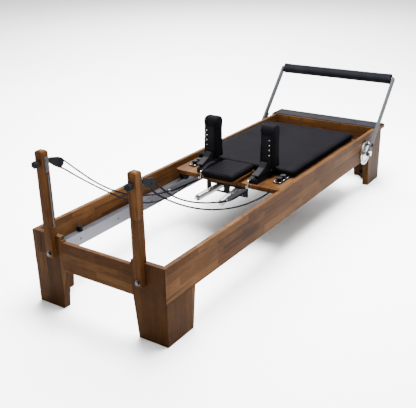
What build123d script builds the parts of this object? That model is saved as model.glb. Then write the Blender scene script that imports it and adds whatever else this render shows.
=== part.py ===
"""Pilates reformer: a wooden frame on four corner legs, with a spring-loaded carriage, riser posts
with rope pulleys at the head end and a tilting footbar over a standing platform at the foot end.

Units are millimetres. +X runs from the head end to the foot end, +Y to the left seen from the head
end's outside, and +Z up. The origin is on the floor, under the middle of the whole machine.
"""
import math
import os

from build123d import *

os.makedirs("parts", exist_ok=True)

LEFT, RIGHT = 1, -1
SIDES = {"left": LEFT, "right": RIGHT}

# ---- driving dimensions of the frame ----
frame_length = 2400.0
frame_width = 756.0
frame_top = 370.0
rail_depth = 168.0
board_t = 24.0          # rails, crossboards and the thin part of the leg panels
leg_t = 38.0            # leg panels below the rails
head_x = -1228.1        # outer face of the head end
edge_round = 2.5

half_width = frame_width / 2
rail_bottom = frame_top - rail_depth
rail_inner_y = half_width - board_t
foot_x = head_x + frame_length


def from_head(x):
    """A distance along the machine, counted from the outer face of the head end."""
    return head_x + x


# ---- legs ----
leg_front_top = 177.0       # width of the end-facing panel where it meets the rail
leg_front_floor = 156.0
leg_side_top = 207.0        # width of the side-facing panel where it meets the rail
leg_side_floor = 184.0
crossboard_top = 344.0
crossboard_corner = 9.0     # hollow corner where the crossboard meets the taller legs

# ---- standing platform ----
platform_near_x = from_head(2284.0)
platform_far_x = from_head(2422.0)
platform_bottom = 352.0
platform_t = 22.0
platform_half_width = 391.0
platform_pad_t = 6.0

# ---- tracks ----
track_top = 268.0
track_bottom = 206.0
track_inner_y = 318.0
track_wall = 3.0
track_near_x = head_x + board_t
track_far_x = platform_near_x

# ---- carriage ----
carriage_near_x = from_head(1040.0)
carriage_far_x = from_head(2074.0)
carriage_bottom = 324.0
carriage_board_t = 23.0
carriage_top = carriage_bottom + carriage_board_t
carriage_half_width = 336.0
wheel_r = 25.0
wheel_axle_r = 5.0
axle_z = track_top + wheel_r
wheel_xs = [from_head(1120.0), from_head(1990.0)]

# ---- rope, pulleys and riser posts ----
rope_r = 4.0
sheave_x = from_head(89.0)
sheave_z = 685.0
rope_wrap_r = 20.0          # centreline of the rope round the sheave
post_y = 254.0
post_size = 40.0
post_front = head_x - 25.0
post_top = 768.0
post_bottom = 266.0
post_bolt_z = 285.0
post_bolt_r = 5.0
hole_clearance = 0.05
eye_x = from_head(33.0)
eye_z = 712.0
eye_wire_r = 4.0
eye_ring_r = 9.0

# ---- footbar ----
pivot_x = from_head(2112.0)
pivot_z = 258.0
footbar_x = from_head(2474.0)
footbar_z = 663.5
arm_w = 30.0
arm_t = 16.0
disc_r = 76.0
disc_t = 7.0
disc_y = half_width + 3.0   # inner face of the adjuster disc, on a thin washer
arm_y = 397.0               # inner face of the arms


def side_plane(y):
    """A vertical plane along the machine: local x is +X, local y is +Z, and it extrudes towards -Y."""
    return Plane(origin=(0, y, 0), x_dir=(1, 0, 0), z_dir=(0, -1, 0))


def end_plane(x):
    """A vertical plane across the machine: local x is +Y, local y is +Z, and it extrudes towards +X."""
    return Plane.YZ.offset(x)


def span(a0, a1, b0, b1):
    """A rectangle between two corners, inside a sketch."""
    with Locations(((a0 + a1) / 2, (b0 + b1) / 2)):
        Rectangle(abs(a1 - a0), abs(b1 - b0))


def save(part, name):
    part.label = name
    export_step(part, f"parts/{name}.step")


def thickness_at(side, outer, thickness):
    """Plane and signed distance that extrude a panel inwards from its outer face at |y| = outer."""
    return side_plane(side * outer), side * thickness


# ==== frame ====

def side_rail(side):
    """Long rail, mitred into the head leg and butted against the foot leg's side panel."""
    end_x = foot_x - leg_side_top
    outline = [
        (head_x, side * half_width),
        (end_x, side * half_width),
        (end_x, side * rail_inner_y),
        (head_x + board_t, side * rail_inner_y),
    ]
    with BuildPart() as rail:
        with BuildSketch(Plane.XY.offset(rail_bottom)):
            Polygon(*outline, align=None)
        extrude(amount=rail_depth)
        long_edges = rail.edges().filter_by(Axis.X)
        fillet(long_edges, edge_round)
        with BuildSketch(side_plane(side * half_width)):
            with Locations((pivot_x, pivot_z)):
                Circle(post_bolt_r + hole_clearance)
        extrude(amount=side * board_t, mode=Mode.SUBTRACT)
    return rail.part


def head_leg(side):
    """L-shaped corner leg: its end panel runs to the top, its side panel stops under the rail."""
    end_panel = [
        (side * half_width, 0),
        (side * half_width, frame_top),
        (side * (half_width - leg_front_top), frame_top),
        (side * (half_width - leg_front_top), rail_bottom),
        (side * (half_width - leg_front_floor), 0),
    ]
    lower_panel = [
        (side * half_width, 0),
        (side * half_width, rail_bottom),
        (side * (half_width - leg_front_top), rail_bottom),
        (side * (half_width - leg_front_floor), 0),
    ]
    side_panel = [
        (head_x, 0),
        (head_x, rail_bottom),
        (head_x + leg_side_top, rail_bottom),
        (head_x + leg_side_floor, 0),
    ]
    mitre = [
        (head_x, side * half_width),
        (head_x + board_t, side * half_width),
        (head_x + board_t, side * rail_inner_y),
    ]
    plane, inwards = thickness_at(side, half_width, leg_t)
    with BuildPart() as leg:
        with BuildSketch(end_plane(head_x)):
            Polygon(*end_panel, align=None)
        extrude(amount=board_t)
        with BuildSketch(end_plane(head_x)):
            Polygon(*lower_panel, align=None)
        extrude(amount=leg_t)
        with BuildSketch(plane):
            Polygon(*side_panel, align=None)
        extrude(amount=inwards)
        upright = leg.edges().filter_by(Axis.Z)
        fillet(upright.sort_by(lambda e: e.center().X - side * e.center().Y)[0], edge_round)
        with BuildSketch(Plane.XY.offset(rail_bottom)):
            Polygon(*mitre, align=None)
        extrude(amount=rail_depth, mode=Mode.SUBTRACT)
        with BuildSketch(end_plane(head_x)):
            with Locations((side * post_y, post_bolt_z)):
                Circle(post_bolt_r + hole_clearance)
        extrude(amount=board_t, mode=Mode.SUBTRACT)
    return leg.part


def head_crossboard():
    """Board between the head legs, lower than they are, with a hollow corner at each end of its top."""
    half = half_width - leg_front_top
    hollow_z = crossboard_top + crossboard_corner
    with BuildPart() as board:
        with BuildSketch(end_plane(head_x)):
            with BuildLine():
                Polyline((-half, hollow_z), (-half, rail_bottom), (half, rail_bottom), (half, hollow_z))
                RadiusArc((half, hollow_z), (half - crossboard_corner, crossboard_top), -crossboard_corner)
                Line((half - crossboard_corner, crossboard_top), (crossboard_corner - half, crossboard_top))
                RadiusArc((crossboard_corner - half, crossboard_top), (-half, hollow_z), -crossboard_corner)
            make_face()
        extrude(amount=board_t)
        top_edges = board.faces().filter_by(Axis.Z).sort_by(Axis.Z)[-1].edges().filter_by(Axis.Y)
        fillet(top_edges, edge_round)
    return board.part


def foot_leg(side):
    """Corner leg whose side panel stands full height beside the rail's end and carries the platform."""
    top_x = foot_x - leg_side_top
    side_panel = [
        (foot_x, 0),
        (foot_x, platform_bottom),
        (platform_near_x, platform_bottom),
        (platform_near_x, frame_top),
        (top_x, frame_top),
        (top_x, rail_bottom),
        (foot_x - leg_side_floor, 0),
    ]
    lower_side = [
        (foot_x, 0),
        (foot_x, rail_bottom),
        (top_x, rail_bottom),
        (foot_x - leg_side_floor, 0),
    ]
    inner_top = side * (half_width - leg_front_top)
    inner_floor = side * (half_width - leg_front_floor)
    end_panel = [
        (side * half_width, 0),
        (side * half_width, platform_bottom),
        (inner_top, platform_bottom),
        (inner_top, rail_bottom),
        (inner_floor, 0),
    ]
    lower_end = [
        (side * half_width, 0),
        (side * half_width, rail_bottom),
        (inner_top, rail_bottom),
        (inner_floor, 0),
    ]
    thin_plane, thin = thickness_at(side, half_width, board_t)
    thick_plane, thick = thickness_at(side, half_width, leg_t)
    with BuildPart() as leg:
        with BuildSketch(thin_plane):
            Polygon(*side_panel, align=None)
        extrude(amount=thin)
        with BuildSketch(thick_plane):
            Polygon(*lower_side, align=None)
        extrude(amount=thick)
        with BuildSketch(end_plane(foot_x)):
            Polygon(*end_panel, align=None)
        extrude(amount=-board_t)
        with BuildSketch(end_plane(foot_x)):
            Polygon(*lower_end, align=None)
        extrude(amount=-leg_t)
        upright = leg.edges().filter_by(Axis.Z)
        fillet(upright.sort_by(lambda e: side * e.center().Y + e.center().X)[-1], edge_round)
    return leg.part


def foot_crossboards():
    """Board between the foot legs, and the deeper inner board that closes the carriage's space."""
    crossboard_half = half_width - leg_front_top
    with BuildPart() as boards:
        with BuildSketch(Plane.XY.offset(rail_bottom)):
            span(foot_x - board_t, foot_x, -crossboard_half, crossboard_half)
            span(platform_near_x, platform_near_x + board_t, -rail_inner_y, rail_inner_y)
        extrude(amount=platform_bottom - rail_bottom)
    return boards.part


def platform_slab(inset, z0, thickness, corner, top_round):
    """Board or pad of the standing platform, with rounded corners and a soft top edge."""
    with BuildPart() as slab:
        with BuildSketch(Plane.XY.offset(z0)):
            span(platform_near_x + inset, platform_far_x - inset,
                 inset - platform_half_width, platform_half_width - inset)
        extrude(amount=thickness)
        fillet(slab.edges().filter_by(Axis.Z), corner)
        fillet(slab.faces().sort_by(Axis.Z)[-1].edges(), top_round)
    return slab.part


for name, side in SIDES.items():
    save(side_rail(side), f"side_rail_{name}")
    save(head_leg(side), f"head_leg_{name}")
    save(foot_leg(side), f"foot_leg_{name}")
save(head_crossboard(), "head_crossboard")
save(foot_crossboards(), "foot_crossboards")
save(platform_slab(0, platform_bottom, platform_t, 6.0, 2.0), "platform_board")
save(platform_slab(5.0, platform_bottom + platform_t, platform_pad_t, 8.0, 2.0), "platform_pad")


# ==== transport casters in the legs' inner corners ====
caster_wheel_r = 30.0
caster_wheel_w = 22.0
caster_floor_gap = 2.0
caster_axle_r = 4.0
caster_z = caster_floor_gap + caster_wheel_r
caster_y = 300.0
caster_inset = leg_t + 34.0
caster_wall = 3.0
caster_xs = {"head": head_x + caster_inset, "foot": foot_x - caster_inset}
housing_inner = caster_wheel_w + 4.0
housing_half_x = 33.0


def caster_housings():
    """Four channel-shaped housings, open at the bottom, that hang the wheels from the rails' height."""
    wheel_room = caster_z + caster_wheel_r + 4.0
    half_y = housing_inner / 2 + caster_wall
    with BuildPart() as housings:
        for x in caster_xs.values():
            for side in SIDES.values():
                with BuildSketch(Plane.XY.offset(caster_z - 12.0)):
                    span(x - housing_half_x, x + housing_half_x,
                         side * caster_y - half_y, side * caster_y + half_y)
                extrude(amount=rail_bottom - caster_z + 12.0)
                with BuildSketch(Plane.XY):
                    span(x - housing_half_x - 1, x + housing_half_x + 1,
                         side * caster_y - housing_inner / 2, side * caster_y + housing_inner / 2)
                extrude(amount=wheel_room, mode=Mode.SUBTRACT)
                with BuildSketch(side_plane(side * caster_y + half_y)):
                    with Locations((x, caster_z)):
                        Circle(caster_axle_r)
                extrude(amount=2 * half_y)
    return housings.part


def caster_wheel(x, side):
    """Wheel with a rounded tread and a plain bore."""
    half = caster_wheel_w / 2
    bore = caster_axle_r + hole_clearance
    with BuildPart() as wheel:
        with BuildSketch(Plane(origin=(x, side * caster_y, caster_z), x_dir=(1, 0, 0), z_dir=(0, 0, 1))):
            span(bore, caster_wheel_r, -half, half)
        revolve(axis=Axis((x, side * caster_y, caster_z), (0, 1, 0)))
        rims = wheel.edges().filter_by(GeomType.CIRCLE).group_by(SortBy.RADIUS)[-1]
        fillet(rims, 3.0)
    return wheel.part


save(caster_housings(), "caster_housings")
for end, x in caster_xs.items():
    for name, side in SIDES.items():
        save(caster_wheel(x, side), f"caster_wheel_{end}_{name}")


# ==== tracks ====
bumper_r = 13.0
bumper_h = 27.0
bumper_y = 338.0
head_bumper_x = from_head(258.0)
foot_bumper_x = wheel_xs[1] + wheel_r + bumper_r + 0.5
screw_pitch = 277.0
screw_z = 238.0
screw_head_r = 5.0
screw_head_t = 2.0


def track(side):
    """Aluminium channel, open at the bottom, screwed to the inside of a rail."""
    outer, inner = side * rail_inner_y, side * track_inner_y
    wall = side * track_wall
    with BuildPart() as channel:
        with BuildSketch(end_plane(track_near_x)):
            Polygon(
                (inner, track_bottom), (inner, track_top), (outer, track_top), (outer, track_bottom),
                (outer - wall, track_bottom), (outer - wall, track_top - track_wall),
                (inner + wall, track_top - track_wall), (inner + wall, track_bottom), align=None,
            )
        extrude(amount=track_far_x - track_near_x)
    return channel.part


def track_bumpers():
    """Rubber stops on the tracks, at both ends of the carriage's travel."""
    with BuildPart() as bumpers:
        with BuildSketch(Plane.XY.offset(track_top)):
            for x in (head_bumper_x, foot_bumper_x):
                with Locations((x, bumper_y), (x, -bumper_y)):
                    Circle(bumper_r)
        extrude(amount=bumper_h)
        fillet(bumpers.faces().filter_by(Axis.Z).group_by(Axis.Z)[-1].edges(), 4.0)
    return bumpers.part


for name, side in SIDES.items():
    save(track(side), f"track_{name}")
save(track_bumpers(), "track_bumpers")


# ==== riser posts ====
post_back = post_front + post_size
post_head_round = 13.0
knob_r = 16.0
knob_t = 24.0
knob_front = post_front - 6.0 - knob_t
plate_t = 2.5
plate_z = (669.0, 739.0)
strip_z = (424.0, 655.0)
plate_x = head_x + 1.0


def riser_post(side):
    """Square post, half-lapped over the top of the leg, with a domed head."""
    with BuildPart() as post:
        with BuildSketch(Plane.XY.offset(post_bottom)):
            span(post_front, head_x, side * post_y - post_size / 2, side * post_y + post_size / 2)
        extrude(amount=post_top - post_bottom)
        with BuildSketch(Plane.XY.offset(frame_top)):
            span(post_front, post_back, side * post_y - post_size / 2, side * post_y + post_size / 2)
        extrude(amount=post_top - frame_top)
        fillet(post.faces().sort_by(Axis.Z)[-1].edges(), post_head_round)
        with BuildSketch(end_plane(post_front)):
            with Locations((side * post_y, post_bolt_z), (side * post_y, eye_z)):
                Circle(post_bolt_r + hole_clearance)
        extrude(amount=post_size, mode=Mode.SUBTRACT)
        upright = post.edges().filter_by(Axis.Z).sort_by(Axis.X)[:2]
        fillet(upright, edge_round)
    return post.part


def frame_fasteners():
    """Post bolts with washers, the steel plate and guide strip on each post, and the tracks' screws."""
    shank = board_t + 25.0
    first_screw = from_head(240.0)
    screw_count = int((track_far_x - first_screw) / screw_pitch) + 1
    with BuildPart() as fittings:
        for side in SIDES.values():
            with BuildSketch(side_plane(side * track_inner_y)):
                with Locations(*[(first_screw + i * screw_pitch, screw_z) for i in range(screw_count)]):
                    Circle(screw_head_r)
            extrude(amount=side * screw_head_t)
        for side in SIDES.values():
            inner_face = side * (post_y - post_size / 2)
            with BuildSketch(end_plane(post_front)):
                with Locations((side * post_y, post_bolt_z)):
                    Circle(post_bolt_r)
            extrude(amount=shank)
            with BuildSketch(end_plane(post_front)):
                with Locations((side * post_y, post_bolt_z)):
                    Circle(13.0)
            extrude(amount=-2.0)
            with BuildSketch(end_plane(post_front - 2.0)):
                with Locations((side * post_y, post_bolt_z)):
                    RegularPolygon(9.5, 6)
            extrude(amount=-6.5)
            with BuildSketch(side_plane(inner_face)):
                span(plate_x - 11, plate_x + 11, *plate_z)
                span(plate_x - 4, plate_x + 4, *strip_z)
                with Locations((plate_x, strip_z[0] - 7)):
                    Circle(7.0)
            extrude(amount=side * plate_t)
            with BuildSketch(side_plane(inner_face - side * plate_t)):
                with Locations((plate_x, 723), (plate_x, 685), (plate_x, strip_z[0] - 7)):
                    Circle(4.5)
            extrude(amount=side * 2.5)
    return fittings.part


def clamp_knob(side):
    """Lobed knob on the threaded end of the eyebolt."""
    with BuildPart() as knob:
        with BuildSketch(end_plane(knob_front)):
            with Locations((side * post_y, eye_z)):
                Circle(knob_r)
            with Locations((side * post_y, eye_z)):
                with PolarLocations(knob_r + 2.5, 6):
                    Circle(5.0, mode=Mode.SUBTRACT)
        extrude(amount=knob_t)
        fillet(knob.faces().sort_by(Axis.X)[0].edges(), 3.0)
        with BuildSketch(end_plane(knob_front + knob_t)):
            with Locations((side * post_y, eye_z)):
                Circle(9.0)
        extrude(amount=post_front - knob_front - knob_t - 0.3)
        with BuildSketch(end_plane(post_front - 0.3)):
            with Locations((side * post_y, eye_z)):
                Circle(post_bolt_r + hole_clearance)
        extrude(amount=-18.0, mode=Mode.SUBTRACT)
    return knob.part


def pulley_eyebolts():
    """Eyebolts through the posts, each ending in a ring for its pulley block."""
    shank_start = post_front - 17.0
    with BuildPart() as eyebolts:
        for side in SIDES.values():
            with BuildSketch(end_plane(shank_start)):
                with Locations((side * post_y, eye_z)):
                    Circle(post_bolt_r)
            extrude(amount=eye_x - eye_ring_r - shank_start)
            with BuildSketch(Plane(origin=(eye_x, side * post_y, eye_z), x_dir=(1, 0, 0), z_dir=(0, 0, 1))):
                with Locations((eye_ring_r, 0)):
                    Circle(eye_wire_r)
            revolve(axis=Axis((eye_x, side * post_y, eye_z), (0, 1, 0)))
    return eyebolts.part


cheek_gap = 14.0
cheek_t = 2.5
cheek_r = 23.0
eye_pin_r = eye_ring_r - eye_wire_r - 0.1
sheave_bore = 4.0
groove_gap = 0.9
sheave_groove_r = rope_wrap_r - rope_r - groove_gap
sheave_r = sheave_groove_r + 6.0
sheave_w = 13.0


def pulley_block(side):
    """Two cheeks joined by the pin through the eyebolt's ring and by the sheave's axle."""
    with BuildPart() as block:
        for face in (-1, 1):
            with BuildSketch(side_plane(side * post_y + face * (cheek_gap / 2 + cheek_t / 2))):
                with Locations((sheave_x, sheave_z)):
                    Circle(cheek_r)
                with Locations((eye_x, eye_z)):
                    Circle(9.0)
                make_hull()
            extrude(amount=cheek_t / 2, both=True)
        with BuildSketch(side_plane(side * post_y)):
            with Locations((eye_x, eye_z)):
                Circle(eye_pin_r)
            with Locations((sheave_x, sheave_z)):
                Circle(sheave_bore)
        extrude(amount=cheek_gap / 2 + cheek_t + 3.0, both=True)
    return block.part


def sheave(side):
    """Grooved pulley wheel."""
    half = sheave_w / 2
    bore = sheave_bore + hole_clearance
    centre = (sheave_x, side * post_y, sheave_z)
    with BuildPart() as wheel:
        with BuildSketch(Plane(origin=centre, x_dir=(1, 0, 0), z_dir=(0, 0, 1))):
            span(bore, sheave_r, -half, half)
            with Locations((rope_wrap_r, 0)):
                Circle(rope_r + groove_gap, mode=Mode.SUBTRACT)
            with Locations((rope_wrap_r + rope_r, 0)):
                Rectangle(2 * rope_r, 2 * (rope_r + groove_gap), mode=Mode.SUBTRACT)
        revolve(axis=Axis(centre, (0, 1, 0)))
    return wheel.part


for name, side in SIDES.items():
    save(riser_post(side), f"riser_post_{name}")
    save(clamp_knob(side), f"clamp_knob_{name}")
    save(pulley_block(side), f"pulley_block_{name}")
    save(sheave(side), f"sheave_{name}")
save(frame_fasteners(), "frame_fasteners")
save(pulley_eyebolts(), "pulley_eyebolts")


# ==== carriage ====
pad_near_x = from_head(1229.0)
pad_half_width = 322.0
pad_top = 391.0
corner_r = 28.0
bar_near_x = from_head(1056.0)
bar_far_x = from_head(1226.0)
bar_y = (143.0, 193.0)
bar_top = 389.0
axle_y = (304.0, 350.0)
wheel_y = (322.0, 346.0)
flange_y = (311.0, 316.5)
flange_r = 31.0
bracket_wall = 6.0


def rounded_slab(x0, x1, half, z0, z1, corner, top_round):
    with BuildPart() as slab:
        with BuildSketch(Plane.XY.offset(z0)):
            with Locations(((x0 + x1) / 2, 0)):
                RectangleRounded(x1 - x0, 2 * half, corner)
        extrude(amount=z1 - z0)
        fillet(slab.faces().sort_by(Axis.Z)[-1].edges(), top_round)
    return slab.part


def shoulder_bars():
    """Steel bars along the carriage that carry the shoulder rests."""
    with BuildPart() as bars:
        for side in SIDES.values():
            with BuildSketch(side_plane(side * bar_y[1])):
                Polygon(
                    (bar_near_x, carriage_top), (bar_near_x, carriage_top + 27.0),
                    (bar_near_x + 44.0, bar_top), (bar_far_x, bar_top), (bar_far_x, carriage_top),
                    align=None,
                )
            extrude(amount=side * (bar_y[1] - bar_y[0]))
        fillet(bars.edges().filter_by(Axis.X).group_by(Axis.Z)[-1], 3.0)
    return bars.part


def wheel_brackets():
    """Brackets under the carriage's corners, with the wheels' axles."""
    half_x = 28.0
    with BuildPart() as brackets:
        for x in wheel_xs:
            for side in SIDES.values():
                with BuildSketch(Plane.XY.offset(carriage_bottom - 4.0)):
                    span(x - half_x, x + half_x, side * 270.0, side * axle_y[0])
                extrude(amount=4.0)
                with BuildSketch(side_plane(side * axle_y[0])):
                    with BuildLine():
                        Polyline((x - 12, axle_z - 8), (x - half_x, carriage_bottom),
                                 (x + half_x, carriage_bottom), (x + 12, axle_z - 8))
                        RadiusArc((x + 12, axle_z - 8), (x - 12, axle_z - 8), 14.0)
                    make_face()
                extrude(amount=side * bracket_wall)
                with BuildSketch(side_plane(side * axle_y[1])):
                    with Locations((x, axle_z)):
                        Circle(wheel_axle_r)
                extrude(amount=side * (axle_y[1] - axle_y[0] + bracket_wall))
    return brackets.part


def carriage_wheel(x, side):
    """Flanged wheel: the tread runs on the track's top, the flange beside its inner wall."""
    bore = wheel_axle_r + hole_clearance
    centre = (x, 0, axle_z)
    with BuildPart() as wheel:
        with BuildSketch(Plane(origin=centre, x_dir=(1, 0, 0), z_dir=(0, 0, 1))):
            span(bore, wheel_r - 0.1, side * flange_y[1], side * wheel_y[1])
            span(bore, flange_r, side * flange_y[0], side * flange_y[1])
        revolve(axis=Axis(centre, (0, 1, 0)))
    return wheel.part


save(rounded_slab(carriage_near_x, carriage_far_x, carriage_half_width, carriage_bottom, carriage_top,
                  corner_r, 2.0), "carriage_base")
save(rounded_slab(pad_near_x, carriage_far_x - 3, pad_half_width, carriage_top + 0.3, pad_top,
                  corner_r, 9.0), "carriage_pad")
save(shoulder_bars(), "shoulder_bars")
save(wheel_brackets(), "wheel_brackets")
for end, x in zip(("head", "foot"), wheel_xs):
    for name, side in SIDES.items():
        save(carriage_wheel(x, side), f"carriage_wheel_{end}_{name}")

# ---- headrest ----
headrest_near_x = from_head(954.0)
headrest_far_x = from_head(1202.0)
headrest_half = 104.0
headrest_board = (359.0, 370.0)
headrest_top = 404.0
hinge_x = from_head(1212.0)
hinge_z = 356.5
hinge_pin_r = 3.0
knuckle_r = 6.0
knuckle_half = 30.0
hinge_half = 60.0


def headrest_hinge():
    """Hinge on the carriage: a leaf, two outer knuckles and the pin."""
    with BuildPart() as hinge:
        with BuildSketch(Plane.XY.offset(carriage_top)):
            span(hinge_x - knuckle_r, hinge_x + knuckle_r, -hinge_half, hinge_half)
        extrude(amount=2.0)
        for side in SIDES.values():
            with BuildSketch(side_plane(side * hinge_half)):
                with Locations((hinge_x, hinge_z)):
                    Circle(knuckle_r)
                span(hinge_x - knuckle_r, hinge_x + knuckle_r, carriage_top, hinge_z)
            extrude(amount=side * (hinge_half - knuckle_half))
        with BuildSketch(side_plane(0)):
            with Locations((hinge_x, hinge_z)):
                Circle(hinge_pin_r)
        extrude(amount=hinge_half, both=True)
    return hinge.part


def headrest_board_part():
    """Plywood under the headrest, with the hinge's middle knuckle on its far edge."""
    middle = knuckle_half - 0.3
    with BuildPart() as board:
        with BuildSketch(Plane.XY.offset(headrest_board[0])):
            with Locations(((headrest_near_x + headrest_far_x) / 2, 0)):
                RectangleRounded(headrest_far_x - headrest_near_x - 8, 2 * headrest_half - 8, 18.0)
        extrude(amount=headrest_board[1] - headrest_board[0])
        with BuildSketch(side_plane(0)):
            with Locations((hinge_x, hinge_z)):
                Circle(knuckle_r)
            span(headrest_far_x - 10, hinge_x, headrest_board[0], hinge_z + knuckle_r)
        extrude(amount=middle, both=True)
        with BuildSketch(side_plane(0)):
            with Locations((hinge_x, hinge_z)):
                Circle(hinge_pin_r + hole_clearance)
        extrude(amount=middle, both=True, mode=Mode.SUBTRACT)
    return board.part


save(headrest_hinge(), "headrest_hinge")
save(headrest_board_part(), "headrest_board")
headrest_pad = rounded_slab(headrest_near_x, headrest_far_x, headrest_half,
                            headrest_board[1], headrest_top, 20.0, 9.0)
save(headrest_pad, "headrest_pad")

# ---- shoulder rests ----
rest_x = (from_head(1168.0), from_head(1256.0))
rest_y = (137.0, 227.0)
rest_z = (399.0, 642.0)
rest_round = 34.0
recess_depth = 16.0
recess_y = (152.0, 212.0)
recess_z = (399.0, 590.0)
shoe_t = 8.0


def shoulder_frame(side):
    """Shoe that slides on the bar, with an upright plate behind the pad."""
    shoe_z = bar_top + 0.3
    with BuildPart() as frame:
        with BuildSketch(Plane.XY.offset(shoe_z)):
            span(rest_x[0] + 2, rest_x[0] + 56, side * (bar_y[0] - 2), side * (bar_y[1] + 24))
        extrude(amount=shoe_t)
        with BuildSketch(side_plane(side * (bar_y[1] + 4))):
            Polygon(
                (rest_x[0] - 108, shoe_z), (rest_x[0] - 108, shoe_z + 7), (rest_x[0] - 40, shoe_z + 30),
                (rest_x[0] + 3.5, shoe_z + 72), (rest_x[0] + 3.5, shoe_z), align=None,
            )
        extrude(amount=side * 36.0)
        fillet(frame.edges().filter_by(Axis.Y).filter_by(lambda e: e.center().Z > shoe_z + 20), 14.0)
        with BuildSketch(end_plane(rest_x[0] + 4)):
            span(side * (recess_y[0] + 1), side * (recess_y[1] - 1), shoe_z, recess_z[1] - 2)
        extrude(amount=recess_depth - 4.5)
        with BuildSketch(end_plane(rest_x[0] + 4)):
            with Locations(*[(side * (recess_y[0] + 16), z) for z in (449, 488, 518)]):
                Circle(4.0)
        extrude(amount=-2.0)
    return frame.part


def shoulder_pad(side):
    """Upholstered block with a rounded head and a recess in its back."""
    with BuildPart() as pad:
        with BuildSketch(side_plane(side * rest_y[1])):
            span(*rest_x, *rest_z)
        extrude(amount=side * (rest_y[1] - rest_y[0]))
        fillet(pad.edges().filter_by(Axis.Y).group_by(Axis.Z)[-1], rest_round)
        fillet(pad.edges().filter_by(Axis.Z), 10.0)
        with BuildSketch(end_plane(rest_x[0])):
            span(side * recess_y[0], side * recess_y[1], *recess_z)
        extrude(amount=recess_depth, mode=Mode.SUBTRACT)
    return pad.part


for name, side in SIDES.items():
    save(shoulder_frame(side), f"shoulder_frame_{name}")
    save(shoulder_pad(side), f"shoulder_pad_{name}")

# ---- rope cleats, guide eyes and strap hooks ----
cleat_x = (from_head(1122.0), from_head(1226.0))
cleat_y = (252.0, 296.0)
anchor_x = from_head(1186.0)
anchor_z = 300.0
anchor_y = {LEFT: 257.0, RIGHT: -237.0}
hook_y = 152.0
hook_wire = 3.5
hook_out = 26.0
hook_drop = 36.0
hook_curl = 9.0


def rope_cleats():
    """A cleat with two posts on the carriage's top at each side, and the rope's guide eye under it."""
    with BuildPart() as cleats:
        for side in SIDES.values():
            with BuildSketch(Plane.XY.offset(carriage_top)):
                span(*cleat_x, side * cleat_y[0], side * cleat_y[1])
            extrude(amount=6.0)
            posts = [(cleat_x[0] + 30, side * 274.0), (cleat_x[0] + 74, side * 274.0)]
            with BuildSketch(Plane.XY.offset(carriage_top + 6.0)):
                with Locations(*posts):
                    Circle(12.0)
            extrude(amount=12.0)
            with BuildSketch(Plane.XY.offset(carriage_top + 18.0)):
                with Locations(*posts):
                    Circle(16.0)
            extrude(amount=9.0)
            with BuildSketch(Plane.XY.offset(carriage_bottom)):
                with Locations((anchor_x + 13.5, anchor_y[side])):
                    Rectangle(24.0, 26.0)
            extrude(amount=anchor_z - carriage_bottom - 11.0)
    return cleats.part


def strap_hooks():
    """Bent-wire hooks at the near ends of the shoulder bars."""
    start_z = bar_top - 21.0
    down_x = bar_near_x - hook_out
    low_z = start_z - hook_drop
    with BuildPart() as hooks:
        for side in SIDES.values():
            plane = side_plane(side * hook_y)
            with BuildLine(plane) as route:
                FilletPolyline(
                    (bar_near_x, start_z), (down_x, start_z), (down_x, low_z),
                    (down_x - 2 * hook_curl, low_z), (down_x - 2 * hook_curl, low_z + 12.0),
                    radius=hook_curl - 1.0,
                )
            hook_start = (bar_near_x, side * hook_y, start_z)
            with BuildSketch(Plane(origin=hook_start, x_dir=(0, 1, 0), z_dir=(-1, 0, 0))):
                Circle(hook_wire)
            sweep(path=route.wire())
    return hooks.part


save(rope_cleats(), "rope_cleats")
save(strap_hooks(), "strap_hooks")

# ==== springs ====
spring_r = 18.0
spring_z = 290.0
spring_ring_r = 10.0
spring_wire_r = 2.5
loose_springs = {
    "left": {"anchor": (from_head(1330.0), 50.0), "tip": (from_head(838.0), 58.0)},
    "right": {"anchor": (from_head(1330.0), -32.0), "tip": (from_head(842.0), -92.0)},
}
cradle_x = (from_head(1046.0), from_head(1058.0))
spring_pin_r = 4.0
spring_bar_x = platform_near_x - 10.0
drive_spring_ys = (-120.0, 120.0)
drive_anchor_x = from_head(1660.0)


def loose_spring(anchor, tip):
    """Close-wound extension spring off its hook: a pivot eye, the coil body and the ring at its tip."""
    along = Vector(tip[0] - anchor[0], tip[1] - anchor[1], 0)
    length = along.length
    coil = Plane(origin=(anchor[0], anchor[1], spring_z), x_dir=(0, 0, 1), z_dir=along)
    with BuildPart() as spring:
        with BuildSketch(Plane(origin=(anchor[0], anchor[1], spring_z - 5.0), z_dir=(0, 0, 1))):
            Circle(9.0)
            Circle(spring_pin_r + hole_clearance, mode=Mode.SUBTRACT)
        extrude(amount=10.0)
        with BuildSketch(coil.offset(8.0)):
            Circle(3.5)
        extrude(amount=12.0)
        with BuildSketch(coil.offset(18.0)):
            Circle(spring_r)
        extrude(amount=length - 18.0 - 2 * spring_ring_r)
        with BuildSketch(coil.offset(length - spring_ring_r)):
            with Locations((spring_ring_r, 0)):
                Circle(spring_wire_r)
        side_axis = along.normalized().cross(Vector(0, 0, 1))
        centre = coil.origin + along.normalized() * (length - spring_ring_r)
        revolve(axis=Axis(centre, side_axis))
    return spring.part


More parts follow.
